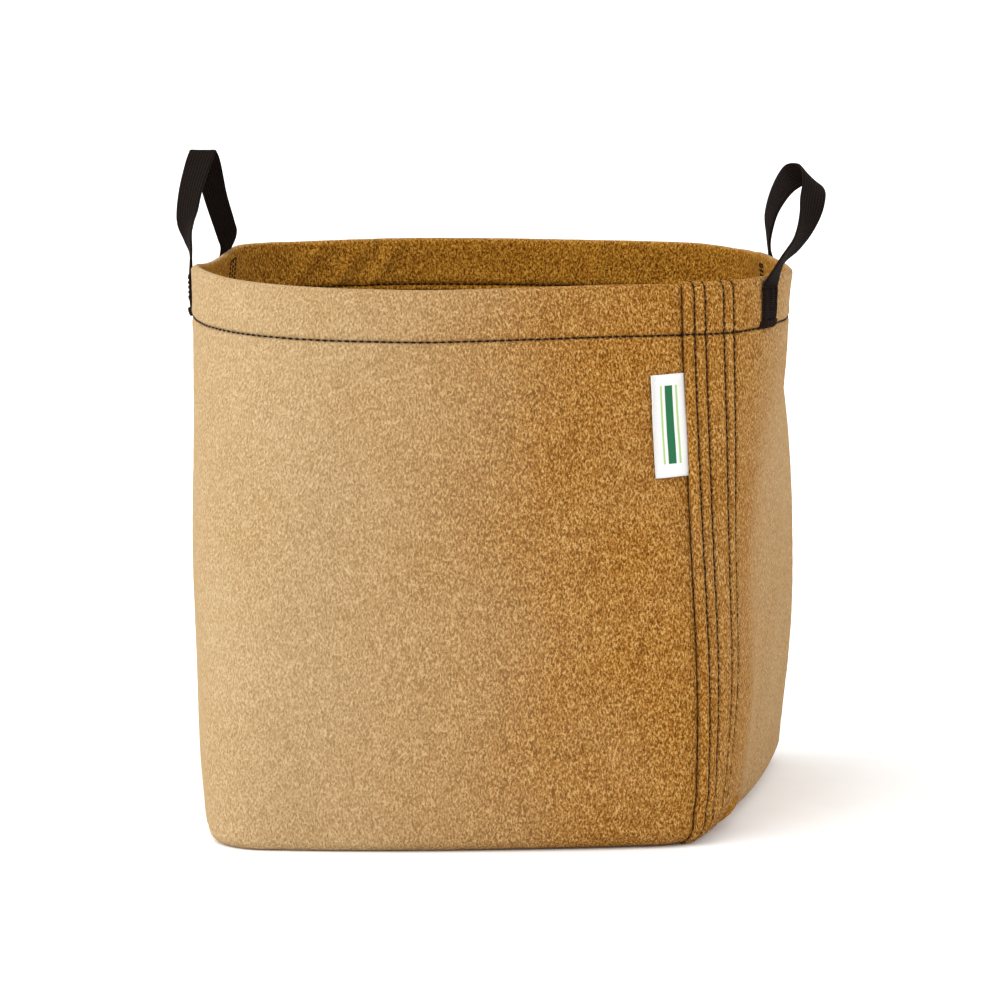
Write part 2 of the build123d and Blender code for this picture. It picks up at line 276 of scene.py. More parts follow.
class Cloth:
    """The wall as one closed grid of points, rows round its cross-section and columns round the bag."""

    def __init__(self):
        self.columns, self.seam_count = wall_columns()
        self.rows = wall_rows()
        self.step = self.columns[-1, 0] - self.columns[-2, 0]
        distance, shift, lap = self.columns.T
        points = []
        for z, inset, side in self.rows:
            stretch = (tube.length(z) - 60 * MM) / (ROUND - 60 * MM)
            beyond = distance > SEAM_ZONE[1]
            walked = np.where(beyond, SEAM_ZONE[1] + (distance - SEAM_ZONE[1]) * stretch, distance)
            xy, outward = tube.at(z, walked + shift)
            share = (distance / ROUND) % 1
            swell = unevenness(share, z)
            lift = rim_wave(share) * smooth(z, CALM_BELOW, TOP)
            level = np.full(len(xy), z)
            crisp = 1 - CRISPNESS * bell_round(share, *CRISP_CORNER)
            tuck = bell_round(share, *SEAM_CORNER)
            tall = crisp * (1 + tuck)
            if side == "foot":
                level, inset = level * tall, inset * crisp * (1 + 0.25 * tuck)
            elif side == "outside":
                level = level + ROUNDING * (tall - 1) * (1 - smooth(z, ROUNDING, 80 * MM))
            xy = xy + outward * (swell - inset)[:, None]
            points.append(np.column_stack([xy, level + lift]))
        self.points = np.array(points)
        self.normals = self.surface_normals(self.points)
        # painted shade in the stitching's dents, along the fold's crease and under the hem's edge
        self.painted_groove_shade = np.zeros(self.points.shape[:2])
        # painted shade on the inside of the bag, the hem and the rim's inner half
        self.inner = np.zeros(self.points.shape[:2])
        push = self.normals * self.relief(distance, lap)[:, :, None]
        crown = np.array([side == "rim" for _, _, side in self.rows])
        push[crown, :, 2] *= 0.3
        self.points = self.points + push
        self.points[:, :, 2] = np.maximum(self.points[:, :, 2], 0.15 * MM)
        self.normals = self.surface_normals(self.points)

    @staticmethod
    def surface_normals(points):
        up = np.roll(points, -1, 0) - np.roll(points, 1, 0)
        across = np.roll(points, -1, 1) - np.roll(points, 1, 1)
        normal = np.cross(across, up)
        return normal / np.maximum(np.linalg.norm(normal, axis=2), 1e-12)[:, :, None]

    def relief(self, distance, lap):
        """Height of the lapped seam, and the dents that the rows of stitching pull into the felt; also fills
        the painted shade in the dents, along the fold's crease, under the hem's edge and inside the bag.
        """
        relief = np.zeros(self.points.shape[:2])
        pucker = 1 + 0.2 * np.cos(2 * math.pi * distance / STITCH_PITCH)
        for index, (z, inset, side) in enumerate(self.rows):
            lap_share = LAP_SHARES[side]
            if side == "foot":
                lap_share *= 0.3 + 0.7 * smooth(z, 0, 12 * MM)
            relief[index] = lap * lap_share
            if side in ("foot", "outside", "rim", "hem"):
                beat = 1 + 0.3 * math.cos(2 * math.pi * z / STITCH_PITCH)
                for offset in SEAM_ROWS:
                    dent = bell(distance, offset, 0.8 * MM)
                    relief[index] -= 0.85 * MM * dent * beat
                    # painted shade in each stitching dent
                    self.painted_groove_shade[index] += 0.75 * bell(distance, offset, 0.55 * MM)
                    relief[index] += 0.22 * MM * bell(np.abs(distance - offset), 2.6 * MM, 1.4 * MM)
                # painted shadow along the fold's edge
                crease = bell(distance, -0.35 * MM, 0.5 * MM)
                self.painted_groove_shade[index] += 1.6 * crease * (lap < 0.9 * MM)
            if side in ("outside", "hem") and abs(z - STITCH_LEVEL) < 8 * MM:
                dent = bell(z, STITCH_LEVEL, 0.95 * MM)
                relief[index] -= 0.8 * MM * dent * pucker
                relief[index] += 0.2 * MM * bell(abs(z - STITCH_LEVEL), 3 * MM, 1.8 * MM)
                # painted shade in the hem stitching's dent
                self.painted_groove_shade[index] += 0.7 * bell(z, STITCH_LEVEL, 0.6 * MM)
            # painted shadow on the inside just under the hem's edge
            if side == "inside" and z > TOP - HEM_DEPTH - 3 * MM:
                self.painted_groove_shade[index] += 0.8
            # painted shade on the inside of the bag
            if side in ("rim", "hem", "inside"):
                self.inner[index] = 1.0 if side != "rim" else smooth(inset, 0.5 * HEM, HEM)
        grain = random.normal(0, 1, relief.shape)
        above = np.roll(grain, 1, 0)
        grain = (grain + above + np.roll(grain, 1, 1) + np.roll(above, 1, 1)) / 2
        return relief + grain * 0.05 * MM

    def at(self, row, column):
        """Point and normal at fractional row and column numbers."""
        r0 = np.clip(np.floor(row).astype(int), 0, len(self.rows) - 2)
        c0 = np.floor(column).astype(int)
        fr = (row - r0)[..., None]
        fc = (column - c0)[..., None]
        count = self.points.shape[1]
        corners = []
        for grid in (self.points, self.normals):
            low = grid[r0, c0 % count] * (1 - fc) + grid[r0, (c0 + 1) % count] * fc
            high = grid[r0 + 1, c0 % count] * (1 - fc) + grid[r0 + 1, (c0 + 1) % count] * fc
            corners.append(low * (1 - fr) + high * fr)
        point, normal = corners
        return point, normal / np.linalg.norm(normal, axis=-1)[..., None]

    def row_at(self, z, side):
        """Fractional row of a height on one side of the cloth."""
        found = [(row_z, index) for index, (row_z, _, row_side) in enumerate(self.rows) if row_side == side]
        found.sort()
        heights, numbers = zip(*found)
        return float(np.interp(z, heights, numbers))

    def column_at(self, distance):
        """Fractional column of a distance from the seam's fold, outside the fold itself."""
        return np.interp(np.mod(distance - SEAM_ZONE[0], ROUND) + SEAM_ZONE[0], self.columns[:, 0],
                         np.arange(len(self.columns)))

    def nearest_column(self, place, row):
        """Fractional column whose point on a row is nearest to a place, seen from above."""
        ring = self.points[int(row)]
        gaps = np.hypot(ring[:, 0] - place[0], ring[:, 1] - place[1])
        return float(np.argmin(gaps))


def mesh_object(name, points, faces, material, uvs=None, attributes=None):
    mesh = bpy.data.meshes.new(name)
    mesh.from_pydata([tuple(p) for p in points], [], faces)
    mesh.materials.append(material)
    mesh.polygons.foreach_set("use_smooth", [True] * len(mesh.polygons))
    if uvs is not None:
        layer = mesh.uv_layers.new(name="cloth")
        layer.data.foreach_set("uv", np.asarray(uvs, np.float32).ravel())
    for key, values in (attributes or {}).items():
        data = mesh.attributes.new(key, "FLOAT", "POINT")
        data.data.foreach_set("value", np.asarray(values, np.float32).ravel())
    mesh.update()
    obj = bpy.data.objects.new(name, mesh)
    bpy.context.collection.objects.link(obj)
    return obj


def grid_faces(rows, columns, wrap_rows, wrap_columns):
    """Quads of a grid and the row and column of each quad's corners, counted on past the last at a wrap."""
    row_steps = rows if wrap_rows else rows - 1
    column_steps = columns if wrap_columns else columns - 1
    i, j = np.meshgrid(np.arange(row_steps), np.arange(column_steps), indexing="ij")
    i, j = i.ravel(), j.ravel()
    corners_i = np.stack([i, i, i + 1, i + 1], 1)
    corners_j = np.stack([j, j + 1, j + 1, j], 1)
    faces = (corners_i % rows) * columns + corners_j % columns
    return faces.tolist(), corners_i, corners_j


# ---------------------------------------------------------------- materials
class Nodes:
    """Short way to write a material's node tree."""

    def __init__(self, name):
        self.material = bpy.data.materials.new(name)
        self.material.use_nodes = True
        self.tree = self.material.node_tree
        self.shader = next(n for n in self.tree.nodes if n.type == "BSDF_PRINCIPLED")

    def add(self, kind, settings=None, **inputs):
        node = self.tree.nodes.new(kind)
        for key, value in (settings or {}).items():
            setattr(node, key, value)
        for key, value in inputs.items():
            self.put(node.inputs[key.replace("_", " ")], value)
        return node

    def put(self, socket, value):
        if isinstance(value, bpy.types.NodeSocket):
            self.tree.links.new(value, socket)
        else:
            socket.default_value = value

    def math(self, operation, first, second=0.0, third=0.0):
        node = self.tree.nodes.new("ShaderNodeMath")
        node.operation = operation
        for socket, value in zip(node.inputs, (first, second, third)):
            self.put(socket, value)
        return node.outputs[0]

    def noise(self, vector, scale, detail=2.0, roughness=0.5, distortion=0.0):
        node = self.add("ShaderNodeTexNoise", Vector=vector, Scale=scale, Detail=detail, Roughness=roughness,
                        Distortion=distortion)
        return node.outputs[0]

    def ramp(self, value, *stops):
        node = self.add("ShaderNodeValToRGB", Fac=value)
        elements = node.color_ramp.elements
        while len(elements) < len(stops):
            elements.new(0.5)
        for element, (position, colour) in zip(elements, stops):
            element.position = position
            element.color = (*colour, 1)
        return node.outputs[0]

    def mix(self, factor, first, second, blend="MIX"):
        node = self.tree.nodes.new("ShaderNodeMix")
        node.data_type = "RGBA"
        node.blend_type = blend
        self.put(node.inputs[0], factor)
        for socket, value in ((node.inputs[6], first), (node.inputs[7], second)):
            self.put(socket, (*value, 1) if isinstance(value, tuple) and len(value) == 3 else value)
        return node.outputs[2]

    def bump(self, height, strength, distance, normal=None):
        node = self.add("ShaderNodeBump", Height=height, Strength=strength, Distance=distance)
        if normal is not None:
            self.put(node.inputs["Normal"], normal)
        return node.outputs[0]

    def finish(self, colour, roughness, normal=None, specular=0.2, sheen=0.0):
        self.put(self.shader.inputs["Base Color"], colour)
        self.put(self.shader.inputs["Roughness"], roughness)
        self.put(self.shader.inputs["Specular IOR Level"], specular)
        self.put(self.shader.inputs["Sheen Weight"], sheen)
        self.put(self.shader.inputs["Sheen Roughness"], 0.6)
        if normal is not None:
            self.put(self.shader.inputs["Normal"], normal)
        return self.material


# Colours of the felt's grain: with painted shade, with painted light, and with painted shade on the inside of
# the bag
FELT_PAINTED_SHADE = ((0.37, (0.11, 0.036, 0.002)), (0.47, (0.25, 0.098, 0.012)), (0.53, (0.34, 0.152, 0.028)),
             (0.63, (0.52, 0.32, 0.105)))
FELT_PAINTED_LIGHT = ((0.37, (0.35, 0.222, 0.095)), (0.47, (0.42, 0.288, 0.145)), (0.53, (0.46, 0.325, 0.174)),
             (0.63, (0.54, 0.41, 0.25)))
FELT_PAINTED_INSIDE_SHADE = ((0.37, (0.085, 0.022, 0.001)), (0.5, (0.30, 0.115, 0.004)), (0.63, (0.54, 0.29, 0.04)))
# painted shade colour of the dents, the fold's crease and under the hem's edge
GROOVE_SHADE = (0.025, 0.009, 0.002)
TURN_PER_MM = 6283  # radians for each metre of a wave that is one millimetre long


def felt_material():
    """Needle-punched felt: fine pits and specks, with painted light on the bag's left and painted shade at
    its front right and inside.
    """
    n = Nodes("tan_felt")
    place = n.add("ShaderNodeTexCoord").outputs["Object"]
    slanted = n.add("ShaderNodeMapping", Vector=place, Rotation=(0, math.radians(45), 0),
                    Scale=(1.0, 1.0, 0.55))
    specks = n.noise(slanted.outputs[0], 1250, 1.2, 0.5, 0.15)
    fine = n.noise(place, 2000, 1.5, 0.5)
    mottle = n.noise(place, 170, 3, 0.55)
    patches = n.noise(place, 16, 2, 0.5)
    grain = n.math("ADD", n.math("MULTIPLY", specks, 0.62), n.math("MULTIPLY", fine, 0.3))
    grain = n.math("ADD", grain, n.math("MULTIPLY", mottle, 0.08))
    # painted shade and painted light: shaded and lit copies of the felt's grain colours
    painted_shade_colour = n.ramp(grain, *FELT_PAINTED_SHADE)
    painted_lit_colour = n.ramp(grain, *FELT_PAINTED_LIGHT)
    inside_shade_colour = n.ramp(grain, *FELT_PAINTED_INSIDE_SHADE)
    painted_light = n.add("ShaderNodeAttribute", {"attribute_name": "painted_light"}).outputs["Fac"]
    wander = n.math("MULTIPLY_ADD", patches, 0.35, -0.175)
    # painted light on the bag's left and painted shade at its front right, mixed by the point attribute
    colour = n.mix(n.math("ADD", painted_light, wander), painted_shade_colour, painted_lit_colour)
    # painted shade inside the bag: darker, more saturated felt colours
    inner = n.add("ShaderNodeAttribute", {"attribute_name": "inner"}).outputs["Fac"]
    colour = n.mix(n.math("MULTIPLY", inner, 0.95), colour, inside_shade_colour)
    # painted shade in the dents, the crease and under the hem's edge
    painted_groove_shade = n.add("ShaderNodeAttribute", {"attribute_name": "painted_groove_shade"}).outputs["Fac"]
    colour = n.mix(n.math("MINIMUM", n.math("MULTIPLY", painted_groove_shade, 1.1), 0.94), colour, GROOVE_SHADE)
    relief = n.math("ADD", grain, n.math("MULTIPLY", mottle, 0.3))
    normal = n.bump(relief, 0.9, 2.2 * MM)
    return n.finish(colour, 0.95, normal, specular=0.06, sheen=0.0)


def thread_material():
    n = Nodes("dark_thread")
    place = n.add("ShaderNodeTexCoord").outputs["Object"]
    fluff = n.noise(place, 2600, 3, 0.6)
    colour = n.ramp(fluff, (0.35, (0.006, 0.003, 0.002)), (0.65, (0.022, 0.011, 0.006)))
    return n.finish(colour, 0.85, n.bump(fluff, 0.6, 0.25 * MM), specular=0.06)


def webbing_material():
    n = Nodes("black_webbing")
    cloth = n.add("ShaderNodeUVMap", {"uv_map": "cloth"}).outputs[0]
    parts = n.add("ShaderNodeSeparateXYZ", Vector=cloth)
    along = parts.outputs[1]
    across = parts.outputs[0]
    wobble = n.noise(cloth, 900, 2, 0.5)
    uneven = n.math("ADD", along, n.math("MULTIPLY", wobble, 0.35 * MM))
    rib = n.math("SINE", n.math("MULTIPLY", uneven, TURN_PER_MM / 0.95))
    yarn = n.math("SINE", n.math("MULTIPLY", across, TURN_PER_MM / 1.35))
    weave = n.math("ADD", n.math("MULTIPLY", rib, 0.6), n.math("MULTIPLY", yarn, 0.4))
    fibre = n.noise(cloth, 3800, 3, 0.6)
    height = n.math("ADD", n.math("MULTIPLY", weave, 0.5), fibre)
    # the warm brown top stop is a painted highlight on the crests of the ribs
    colour = n.ramp(height, (0.25, (0.0012, 0.001, 0.001)), (0.75, (0.006, 0.0042, 0.0034)),
                    (1.0, (0.045, 0.02, 0.01)))
    return n.finish(colour, 0.85, n.bump(height, 0.8, 0.35 * MM), specular=0.06, sheen=0.0)


# Stripes along the label: middle and half width in mm, and colour
LABEL_STRIPES = ((8.2, 1.9, (0.012, 0.115, 0.045)), (12.0, 0.45, (0.33, 0.48, 0.16)),
                 (4.4, 0.45, (0.33, 0.48, 0.16)))


def label_material():
    n = Nodes("woven_label")
    cloth = n.add("ShaderNodeUVMap", {"uv_map": "cloth"}).outputs[0]
    parts = n.add("ShaderNodeSeparateXYZ", Vector=cloth)
    across, along = parts.outputs[0], parts.outputs[1]
    warp = n.math("SINE", n.math("MULTIPLY", across, TURN_PER_MM / 0.42))
    weft = n.math("SINE", n.math("MULTIPLY", along, TURN_PER_MM / 0.36))
    weave = n.math("MULTIPLY", warp, weft)
    fluff = n.noise(cloth, 2400, 2, 0.5)
    ground = n.ramp(n.math("ADD", n.math("MULTIPLY", weave, 0.25), fluff), (0.2, (0.60, 0.60, 0.59)),
                    (0.8, (0.76, 0.76, 0.75)))

    def stripe(value, centre, half):
        gap = n.math("ABSOLUTE", n.math("SUBTRACT", value, centre))
        return n.math("LESS_THAN", gap, half)

    colour = ground
    body = stripe(along, 23.5 * MM, 17.5 * MM)
    for centre, half, paint in LABEL_STRIPES:
        band = n.math("MULTIPLY", stripe(across, centre * MM, half * MM), body)
        colour = n.mix(band, colour, paint)
    return n.finish(colour, 0.7, n.bump(weave, 0.35, 0.12 * MM), specular=0.25)


def floor_material():
    n = Nodes("pale_floor")
    place = n.add("ShaderNodeTexCoord").outputs["Object"]
    fleck = n.noise(place, 30, 3, 0.5)
    colour = n.ramp(fleck, (0.3, (0.93, 0.93, 0.93)), (0.7, (0.96, 0.96, 0.96)))
    return n.finish(colour, 0.9, None, specular=0.1)


FELT_LOOK = felt_material()
THREAD_LOOK = thread_material()
WEBBING_LOOK = webbing_material()
LABEL_LOOK = label_material()


# ---------------------------------------------------------------- felt pieces
cloth = Cloth()

# How much painted light the felt gets, from 0, painted shade, to 1, painted light, against the share round
PAINTED_LIGHT_ROUND = ((0.0, 0.0), (0.04, 0.1), (0.08, 0.5), (0.2, 0.62), (0.4, 0.6), (0.6, 0.85), (0.7, 1.0),
            (0.77, 0.92), (0.86, 0.62), (0.93, 0.12), (1.0, 0.0))
# painted light level of felt inside the bag: low, for painted shade
SHADED_TONE = 0.3


# painted light at shares round the bag
def painted_light_at(share):
    places, amounts = zip(*PAINTED_LIGHT_ROUND)
    return np.interp(share, places, amounts)


def shaded_felt(count):
    """Point attributes of felt that lies inside the bag, with its painted shade."""
    return {"painted_groove_shade": np.zeros(count), "painted_light": np.full(count, SHADED_TONE), "inner": np.ones(count)}


def build_wall():
    rows, columns = cloth.points.shape[:2]
    faces, face_rows, face_columns = grid_faces(rows, columns, True, True)
    walked = np.append(cloth.columns[:, 0], ROUND + SEAM_ZONE[0])
    middle = columns // 2
    climb = np.linalg.norm(np.diff(cloth.points[:, middle], axis=0), axis=1)
    height = np.append(0, np.cumsum(climb))
    height = np.append(height, height[-1] + FELT)
    uvs = np.stack([walked[face_columns], height[face_rows]], 2)
    painted_groove_shade = np.clip(cloth.painted_groove_shade, 0, 1.3)
    share = (cloth.columns[:, 0] / ROUND) % 1
    # painted light and painted shade round the bag
    painted_light = np.tile(painted_light_at(share), (rows, 1))
    wall = mesh_object("felt_wall", cloth.points.reshape(-1, 3), faces, FELT_LOOK, uvs,
                       {"painted_groove_shade": painted_groove_shade, "painted_light": painted_light, "inner": cloth.inner})
    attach(wall, "bag")
    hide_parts("wall_panel", "rim_hem", "side_seam_lap")
    return wall


def build_base():
    """Flat panel inside the ring that the wall turns under, as rings that shrink towards its middle."""
    edge = cloth.points[-1, ::3, :2]
    centre = edge.mean(0)
    shares = np.array([0, 0.08, 0.18, 0.3, 0.44, 0.6, 0.76, 0.9, 0.985])
    points = []
    for side, level in (("top", FELT), ("bottom", 0.0)):
        order = shares if side == "top" else shares[::-1]
        for share in order:
            ring = centre + (edge - centre) * share
            sag = 0.35 * MM * np.cos(ring[:, 0] * 61) * np.cos(ring[:, 1] * 47) * (share < 0.95)
            lift = 0.4 * MM + sag if side == "top" else np.full(len(ring), 0.15 * MM)
            points.append(np.column_stack([ring, level + lift]))
    faces, _, _ = grid_faces(len(points), len(edge), False, True)
    flat = np.array(points).reshape(-1, 3)
    uvs = flat[np.array(faces)][:, :, :2]
    base = mesh_object("felt_base", flat, faces, FELT_LOOK, uvs, shaded_felt(len(flat)))
    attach(base, "bag")
    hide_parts("base_panel")
    return base


def build_base_allowance():
    """The two turned-in edges of the base seam, lying on the floor of the bag as a two-ply ridge."""
    ring = cloth.points[-1, ::2]
    outward = ring[:, :2] - ring[:, :2].mean(0)
    outward /= np.linalg.norm(outward, axis=1)[:, None]
    half = 4 * MM
    shape = [(-1, 0.2), (-1.02, 1.1), (-0.96, 2.0), (-0.9, 2.2), (-1.0, 2.5), (-0.98, 3.6), (-0.85, 4.2),
             (-0.4, 4.35), (0, 3.9), (0.4, 4.35), (0.85, 4.2), (0.98, 3.4), (0.94, 2.3), (1.02, 1.2),
             (1, 0.2)]
    ripple = 0.3 * MM * np.cos(np.arange(len(ring)) * 0.9) + 0.25 * MM * np.cos(np.arange(len(ring)) * 0.37)
    points = []
    for across, level in shape:
        xy = ring[:, :2] + outward * (across * half + ripple)[:, None]
        points.append(np.column_stack([xy, np.full(len(ring), FELT + 0.5 * MM + level * MM)]))
    faces, _, _ = grid_faces(len(points), len(ring), True, True)
    flat = np.array(points).reshape(-1, 3)
    uvs = flat[np.array(faces)][:, :, :2]
    ridge = mesh_object("felt_base_seam", flat, faces, FELT_LOOK, uvs, shaded_felt(len(flat)))
    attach(ridge, "bag")
    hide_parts("base_seam_allowance")
    crest = np.column_stack([ring[:, :2] + outward * ripple[:, None], np.full(len(ring), FELT + 4.4 * MM)])
    return ridge, crest


# ---------------------------------------------------------------- stitching
def stitch_mesh(runs, pitch, length, radius, rise, wander=0.05):
    """Points and faces of separate stitches along runs of (points, normals)."""
    stations = np.linspace(-1, 1, 7)
    sides = 6
    all_points = []
    for line, normals in runs:
        steps = np.linalg.norm(np.diff(line, axis=0), axis=1)
        walked = np.append(0, np.cumsum(steps))
        count = max(1, int(round(walked[-1] / pitch)))
        middles = (np.arange(count) + 0.5) * walked[-1] / count
        for middle in middles:
            reach = length / 2 * (1 + random.uniform(-0.06, 0.06))
            spots = np.clip(middle + stations * reach, 0, walked[-1])
            centre = np.stack([np.interp(spots, walked, line[:, i]) for i in range(3)], 1)
            normal = np.stack([np.interp(spots, walked, normals[:, i]) for i in range(3)], 1)
            normal /= np.linalg.norm(normal, axis=1)[:, None]
            tangent = centre[-1] - centre[0]
            tangent /= max(np.linalg.norm(tangent), 1e-9)
            side = np.cross(tangent, normal)
            side /= np.linalg.norm(side, axis=1)[:, None]
            slip = random.uniform(-wander, wander) * length * stations
            lift = rise * (1 - stations**4) - 0.55 * radius * stations**2
            core = centre + normal * lift[:, None] + side * slip[:, None]
            thick = radius * np.sqrt(1 - (0.88 * stations) ** 2)
            turns = np.arange(sides) * 2 * math.pi / sides
            loops = (core[:, None] + side[:, None] * (thick[:, None] * np.cos(turns))[:, :, None]
                     + normal[:, None] * (0.8 * thick[:, None] * np.sin(turns))[:, :, None])
            all_points.append(loops.reshape(-1, 3))
    block, _, _ = grid_faces(len(stations), sides, False, True)
    block = [list(face) for face in block]
    block.append(list(range(sides))[::-1])
    last = (len(stations) - 1) * sides
    block.append([last + k for k in range(sides)])
    faces = []
    size = len(stations) * sides
    for number in range(len(all_points)):
        faces += [[number * size + corner for corner in face] for face in block]
    return np.vstack(all_points), faces


def add_stitches(name, runs, nodes, pitch=STITCH_PITCH, length=2.75 * MM, radius=0.52 * MM,
                 rise=0.12 * MM):
    """One piece of separate stitches that stands for some CAD nodes."""
    points, faces = stitch_mesh(runs, pitch, length, radius, rise)
    piece = mesh_object(name, points, faces, THREAD_LOOK)
    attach(piece, "bag")
    if nodes:
        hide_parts(*nodes)


def hem_run(side):
    """Line right round the hem's row of stitches, on one side of the cloth."""
    row = cloth.row_at(STITCH_LEVEL, side)
    columns = np.arange(0, cloth.points.shape[1] + 0.01, 0.5)
    return cloth.at(np.full(len(columns), row), columns)


def seam_run(offset):
    """Line up one row of the side seam and over the rim to the hem's edge."""
    first = cloth.row_at(2.5 * MM, "foot")
    last = cloth.row_at(TOP - HEM_DEPTH + 1.5 * MM, "hem")
    rows = np.arange(first, last, 0.5)
    column = cloth.column_at(offset)
    return cloth.at(rows, np.full(len(rows), column))


def build_seam_stitches(crest):
    add_stitches("thread_hem_outside", [hem_run("outside")], ["hem_stitch_outside"])
    add_stitches("thread_hem_inside", [hem_run("hem")], ["hem_stitch_inside"])
    for number, offset in enumerate(SEAM_ROWS, start=1):
        add_stitches(f"thread_side_seam_{number}", [seam_run(offset)], [f"side_seam_stitch_{number}"])
    closed = np.vstack([crest, crest[:1]])
    upward = np.tile([0.0, 0.0, 1.0], (len(closed), 1))
    add_stitches("thread_base_seam", [(closed, upward)], ["base_seam_stitch"], rise=0.35 * MM)


# ---------------------------------------------------------------- webbing handles
WEBBING_WIDTH = 12.7 * MM
WEBBING_HALF = 0.65 * MM
BOX_STITCH = (9.4 * MM, 13 * MM)
BOX_LEVEL = TOP - 9.5 * MM
BARTACK_HALF = 7.4 * MM
# How far a strap end is sewn off its CAD place, in mm round the rim
STRAP_NUDGE = {("right", "front"): -2.0}
# Outline of the webbing's cross-section with its round selvedges, in halves of its width and thickness
WEBBING_SHAPE = ((-1, 0), (-0.985, 0.5), (-0.93, 0.85), (-0.8, 1), (-0.5, 0.94), (-0.2, 1), (0.2, 1),
                 (0.5, 0.94), (0.8, 1), (0.93, 0.85), (0.985, 0.5), (1, 0), (0.985, -0.5), (0.93, -0.85),
                 (0.8, -1), (0.5, -0.94), (0.2, -1), (-0.2, -1), (-0.5, -0.94), (-0.8, -1), (-0.93, -0.85),
                 (-0.985, -0.5))
# Each handle's free webbing from front foot to back foot: place in mm, and direction across its width
HANDLE_PATHS = {
    "left": (
        (-145.6, -10, 264, (-0.1, 1, 0)),
        (-147.0, -4, 272, (-0.35, 0.95, 0)),
        (-148.0, 4, 280, (-0.7, 0.7, 0)),
        (-147.0, 16, 290.5, (-0.85, 0.5, 0)),
        (-144.5, 31, 301.5, (-1, 0.15, 0)),
        (-143.0, 37, 306, (-1, 0, 0)),
        (-142.5, 40, 307.5, (-1, 0, 0)),
        (-142.0, 43, 306, (-1, 0, 0)),
        (-140.5, 49, 299.5, (-0.95, -0.2, -0.2)),
        (-137.5, 64, 282.5, (-0.75, -0.45, -0.5)),
        (-134.0, 79, 267, (-0.65, -0.55, -0.5)),
        (-133.0, 87, 260, (-0.55, -0.7, -0.4)),
    ),
    "right": (
        (130.5, -57, 264, (0.15, 0.95, -0.25)),
        (137.5, -51, 272, (0.25, 0.85, -0.5)),
        (142.5, -43, 281, (0.55, 0.5, -0.6)),
        (145.5, -34, 290, (0.85, 0.1, -0.45)),
        (146.5, -24, 297, (0.8, 0.25, -0.5)),
        (142.5, -14, 301, (0.4, 0.55, -0.7)),
        (136.0, -5, 297.5, (0.35, -0.1, -0.85)),
        (131.0, 20, 285.5, (0.25, -0.45, -0.85)),
        (129.0, 42, 272, (0.2, -0.55, -0.8)),
        (130.0, 57, 262, (0.05, -0.9, -0.4)),
    ),
}


def strap_place(name, end):
    """Column of the wall that runs under the middle of one sewn strap end."""
    low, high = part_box(f"{name}_{end}_strap_end")
    middle = (low + high) / 2
    row = cloth.row_at(TOP - 10 * MM, "outside")
    nudge = STRAP_NUDGE.get((name, end), 0) * MM / cloth.step
    return cloth.nearest_column((middle.x, middle.y), row) + nudge


def smooth_curve(points, count):
    """Evenly spaced points along a soft curve through the given ones."""
    points = np.array(points, float)
    padded = np.vstack([2 * points[0] - points[1], points, 2 * points[-1] - points[-2]])
    samples = []
    for k in range(1, len(padded) - 2):
        p0, p1, p2, p3 = padded[k - 1:k + 3]
        for t in np.linspace(0, 1, 16, endpoint=False):
            samples.append(0.5 * (2 * p1 + (p2 - p0) * t + (2 * p0 - 5 * p1 + 4 * p2 - p3) * t * t
                                  + (3 * p1 - p0 - 3 * p2 + p3) * t**3))
    samples.append(padded[-2])
    samples = np.array(samples)
    walked = np.append(0, np.cumsum(np.linalg.norm(np.diff(samples[:, :3], axis=0), axis=1)))
    spots = np.linspace(0, walked[-1], count)
    return np.stack([np.interp(spots, walked, samples[:, i]) for i in range(samples.shape[1])], 1), walked[-1]


def sewn_points(column, levels, stand_off):
    """Centres and width directions of a strap lying on the outside of the hem."""
    result = []
    for z in levels:
        row = np.array(cloth.row_at(z, "outside"))
        point, normal = cloth.at(row, np.array(column))
        ahead, _ = cloth.at(row, np.array(column + 1.0))
        behind, _ = cloth.at(row, np.array(column - 1.0))
        across = ahead - behind
        across /= np.linalg.norm(across)
        result.append((point + normal * stand_off, across))
    return result


def handle_path(name):
    """Control points of the whole strap with width directions: sewn front end, free loop, sewn back end."""
    levels = np.array([STITCH_LEVEL + 0.3 * MM, TOP - 17 * MM, TOP - 11 * MM, TOP - 6 * MM, TOP - 2.5 * MM])
    free = [(x * MM, y * MM, z * MM, *across) for x, y, z, across in HANDLE_PATHS[name]]
    ends = []
    for end, neighbour in (("front", free[0]), ("back", free[-1])):
        sewn = []
        for centre, across in sewn_points(strap_place(name, end), levels, WEBBING_HALF + 0.3 * MM):
            sewn.append((*centre, *(across * np.sign(np.dot(across, neighbour[3:])))))
        ends.append(sewn)
    return ends[0] + free + ends[1][::-1]


